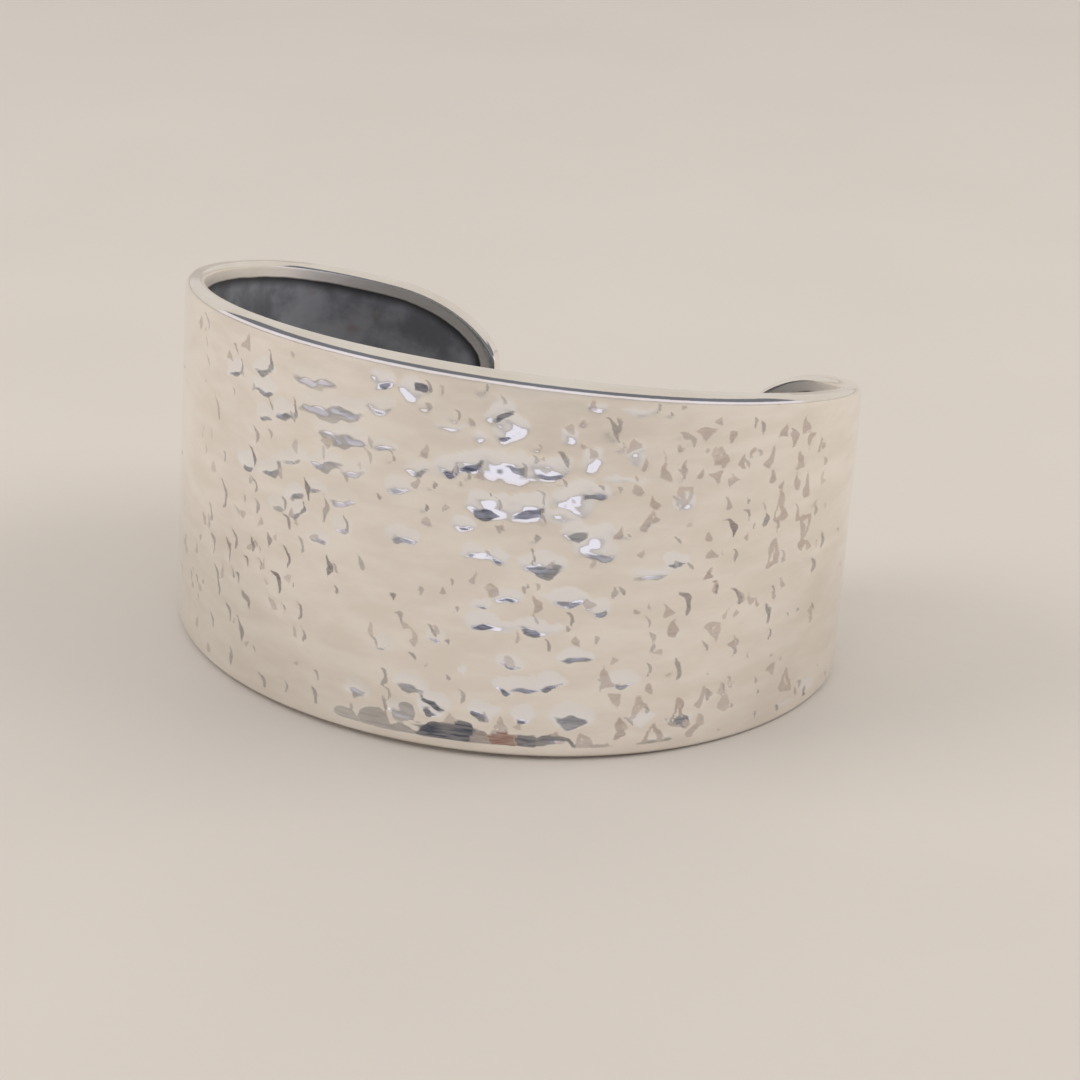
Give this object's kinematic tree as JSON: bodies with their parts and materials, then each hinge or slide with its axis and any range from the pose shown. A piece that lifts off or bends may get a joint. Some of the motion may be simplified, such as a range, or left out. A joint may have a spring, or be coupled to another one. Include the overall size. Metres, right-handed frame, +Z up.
{
  "type": "cuff bracelet",
  "caption": "Wide open-ended silver cuff bracelet, tapered towards its rounded ends, hammered and polished outside and oxidised inside, resting on its lower edge.",
  "frame": {"origin": "on the surface the cuff rests on, under the middle of its bounding box", "axes": "+Z up, -Y out of the wide front, +Y out of the opening between the ends, +X along the cuff's width"},
  "size_m": [0.065, 0.0476, 0.0338],
  "materials": {
    "silver": "hand-hammered polished silver, oxidised dark grey on the inner face"
  },
  "bodies": {
    "root": {"cuff": "silver"}
  },
  "joints": []
}
